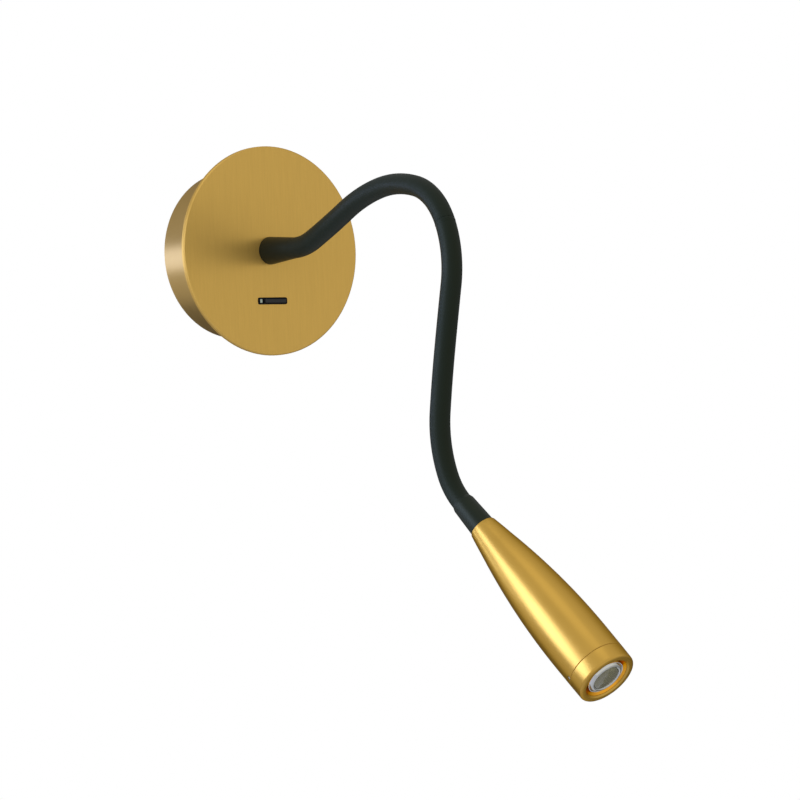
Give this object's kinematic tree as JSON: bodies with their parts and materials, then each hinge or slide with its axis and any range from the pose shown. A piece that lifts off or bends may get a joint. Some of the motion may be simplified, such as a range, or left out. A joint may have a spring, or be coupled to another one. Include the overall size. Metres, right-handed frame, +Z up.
{
  "type": "wall reading lamp",
  "caption": "Bedside reading lamp: a round gold wall plate on a drum, a black flexible neck and a slim tapered spot with a recessed light.",
  "frame": {"origin": "middle of the wall bracket, in the plane of the wall", "axes": "the wall is the plane y = 0; the lamp stands out towards -Y; +X is to the right when facing the lamp; +Z is up"},
  "size_m": [0.1, 0.261, 0.2776],
  "materials": {
    "plate_gold": "vertically brushed satin",
    "drum_gold": "satin",
    "head_gold": "satin gold anodised",
    "zinc_steel": "zinc plated",
    "nipple_steel": "nickel plated",
    "sleeve_black": "matt",
    "boot_black": "matt",
    "core_steel": "oiled",
    "driver_white": "fine matt",
    "foam_grey": "foam",
    "terminal_white": "smooth",
    "terminal_brass": "machined",
    "switch_black": "semi-gloss",
    "rocker_grey": "semi-gloss",
    "mark_pale": "luminous inlay",
    "sink_aluminium": "machined",
    "board_white": "solder mask",
    "emitter_yellow": "phosphor",
    "reflector_silver": "metallised",
    "lens_clear": "polished",
    "seal_black": "matt"
  },
  "bodies": {
    "base": {"wall_bracket": "zinc_steel", "side_screws": "zinc_steel", "drum_housing": "drum_gold", "front_plate": "plate_gold", "plate_studs": "zinc_steel", "plate_nuts": "zinc_steel", "led_driver": "driver_white", "driver_pad": "foam_grey", "terminal_block": "terminal_white", "terminal_screws": "terminal_brass", "earth_screw": "terminal_brass", "switch_body": "switch_black", "switch_frame": "switch_black", "switch_mark": "mark_pale", "neck_nipple": "nipple_steel", "neck_washer": "zinc_steel", "neck_lock_nut": "zinc_steel", "wall_boot": "boot_black", "neck_sleeve_base": "sleeve_black", "neck_core_base": "core_steel"},
    "rocker": {"switch_rocker": "rocker_grey"},
    "link_1": {"neck_core_link_1": "core_steel", "neck_sleeve_link_1": "sleeve_black"},
    "link_2": {"neck_core_link_2": "core_steel", "neck_sleeve_link_2": "sleeve_black"},
    "link_3": {"neck_core_link_3": "core_steel", "neck_sleeve_link_3": "sleeve_black"},
    "link_4": {"neck_core_link_4": "core_steel", "neck_sleeve_link_4": "sleeve_black"},
    "link_5": {"neck_core_link_5": "core_steel", "neck_sleeve_link_5": "sleeve_black"},
    "link_6": {"neck_core_link_6": "core_steel", "neck_sleeve_link_6": "sleeve_black"},
    "link_7": {"neck_core_link_7": "core_steel", "neck_sleeve_link_7": "sleeve_black"},
    "link_8": {"neck_core_link_8": "core_steel", "neck_sleeve_link_8": "sleeve_black"},
    "head": {"head_ferrule": "nipple_steel", "head_boot": "boot_black", "head_shell": "head_gold", "set_screw": "zinc_steel", "heat_sink": "sink_aluminium", "led_board": "board_white", "board_screws": "zinc_steel", "led_emitter": "emitter_yellow", "reflector": "reflector_silver", "lens": "lens_clear", "seal_ring": "seal_black", "front_cap": "head_gold", "neck_sleeve_head": "sleeve_black", "neck_core_head": "core_steel"}
  },
  "joints": [
    {"name": "switch_rock", "type": "hinge", "parent": "base", "child": "rocker", "pos_m": [0.00125, -0.03015, -0.024], "axis": [0, 0, -1], "range_deg": [0, 8]},
    {"name": "neck_1_up_down", "type": "hinge", "parent": "base", "child": "link_1", "pos_m": [0, -0.0669, 0.0028], "axis": [-1, 0, 0], "range_deg": [-8, 25], "deforming": ["neck_sleeve_base", "neck_sleeve_link_1"]},
    {"name": "neck_2_side_to_side", "type": "hinge", "parent": "link_1", "child": "link_2", "pos_m": [0, -0.09498, 0.01469], "axis": [0, 0.4163, 0.9092], "range_deg": [-25, 25], "deforming": ["neck_sleeve_link_2"]},
    {"name": "neck_3_up_down", "type": "hinge", "parent": "link_2", "child": "link_3", "pos_m": [0, -0.12406, 0.02358], "axis": [-1, 0, 0], "range_deg": [-8, 25], "deforming": ["neck_sleeve_link_3"]},
    {"name": "neck_4_side_to_side", "type": "hinge", "parent": "link_3", "child": "link_4", "pos_m": [0, -0.15433, 0.02242], "axis": [0, -0.2385, 0.9711], "range_deg": [-25, 25], "deforming": ["neck_sleeve_link_4"]},
    {"name": "neck_5_up_down", "type": "hinge", "parent": "link_4", "child": "link_5", "pos_m": [0, -0.17693, 0.00353], "axis": [-1, 0, 0], "range_deg": [-8, 30], "deforming": ["neck_sleeve_link_5"]},
    {"name": "neck_6_side_to_side", "type": "hinge", "parent": "link_5", "child": "link_6", "pos_m": [0, -0.17938, -0.0263], "axis": [0, -0.9677, -0.2521], "range_deg": [-25, 25], "deforming": ["neck_sleeve_link_6"]},
    {"name": "neck_7_up_down", "type": "hinge", "parent": "link_6", "child": "link_7", "pos_m": [0, -0.17195, -0.05588], "axis": [-1, 0, 0], "range_deg": [-8, 25], "deforming": ["neck_sleeve_link_7"]},
    {"name": "neck_8_side_to_side", "type": "hinge", "parent": "link_7", "child": "link_8", "pos_m": [0.0009, -0.16445, -0.08542], "axis": [0.0007, -0.9664, -0.2571], "range_deg": [-25, 25], "deforming": ["neck_sleeve_link_8"]},
    {"name": "neck_9_up_down", "type": "hinge", "parent": "link_8", "child": "head", "pos_m": [0.00448, -0.16339, -0.11542], "axis": [-0.9839, 0.0188, -0.1776], "range_deg": [-8, 25], "deforming": ["neck_sleeve_head"]}
  ]
}
